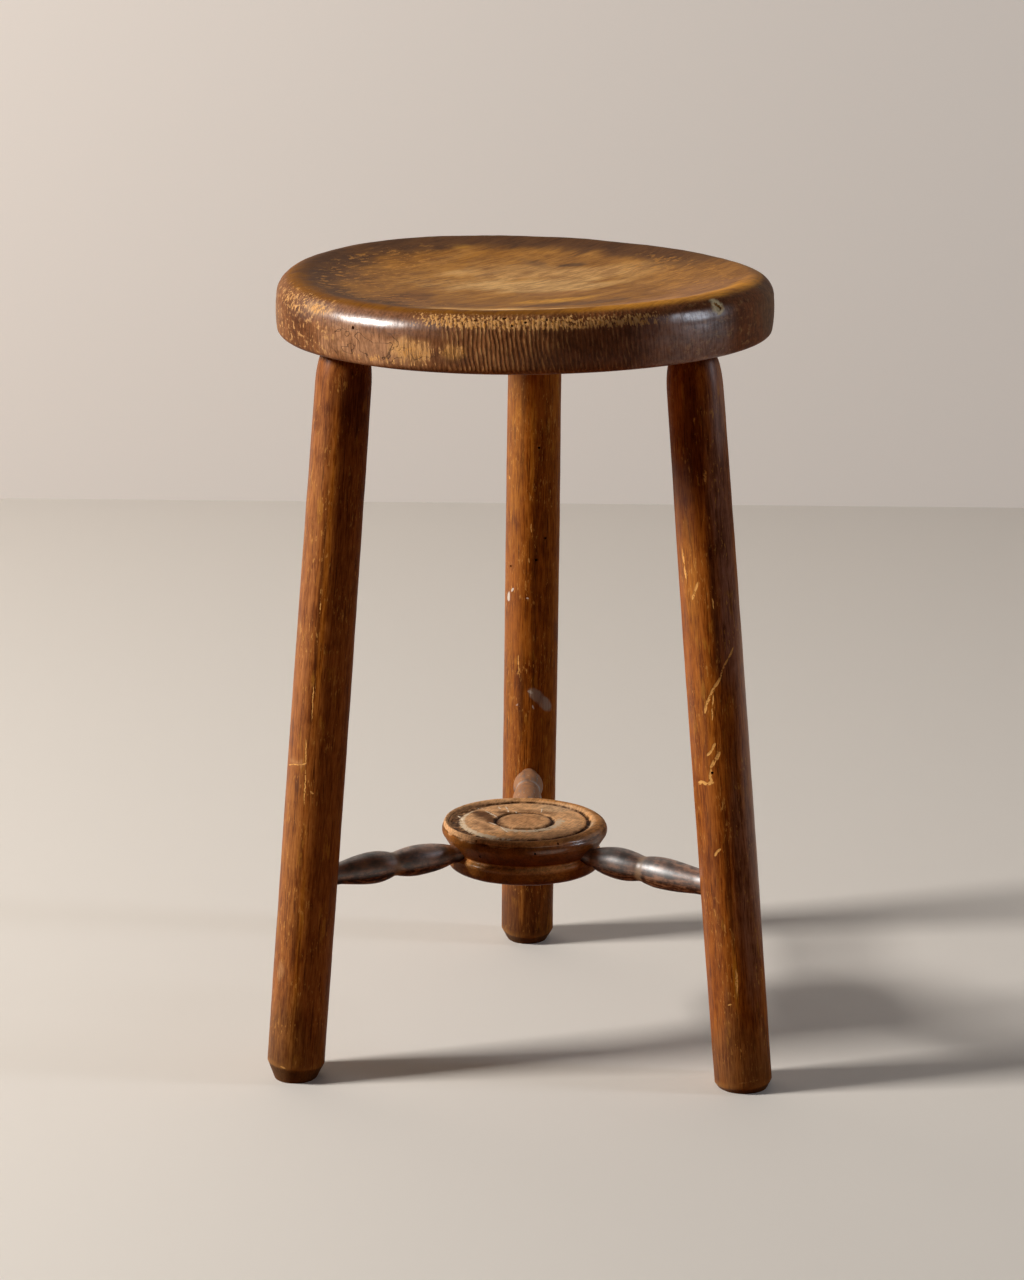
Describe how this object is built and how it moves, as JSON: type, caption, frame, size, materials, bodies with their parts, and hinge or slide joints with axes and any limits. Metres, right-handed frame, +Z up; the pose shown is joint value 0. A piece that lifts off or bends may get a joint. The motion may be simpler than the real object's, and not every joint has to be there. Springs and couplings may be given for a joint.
{
  "type": "tripod stool",
  "caption": "Low wooden stool: a thick round dished seat on splayed turned legs, tied near the floor by turned stretchers that meet in a grooved hub.",
  "frame": {"origin": "on the floor under the middle of the seat", "axes": "+Z up; the back leg's foot stands on +Y and the front is -Y, with a front leg to each side of it"},
  "size_m": [0.2911, 0.3053, 0.4572],
  "materials": {
    "seat_wood": "worn, waxed, dark at the edge and pale where it was sat on",
    "leg_wood": "reddish brown stain under satin shellac, scratched",
    "stretcher_wood": "dark brown satin shellac, worn pale in the waist",
    "hub_wood": "worn satin brown with dust in the grooves"
  },
  "bodies": {
    "root": {"seat": "seat_wood", "leg_left": "leg_wood", "leg_right": "leg_wood", "leg_back": "leg_wood", "stretcher_left": "stretcher_wood", "stretcher_right": "stretcher_wood", "stretcher_back": "stretcher_wood", "hub": "hub_wood"}
  },
  "joints": []
}
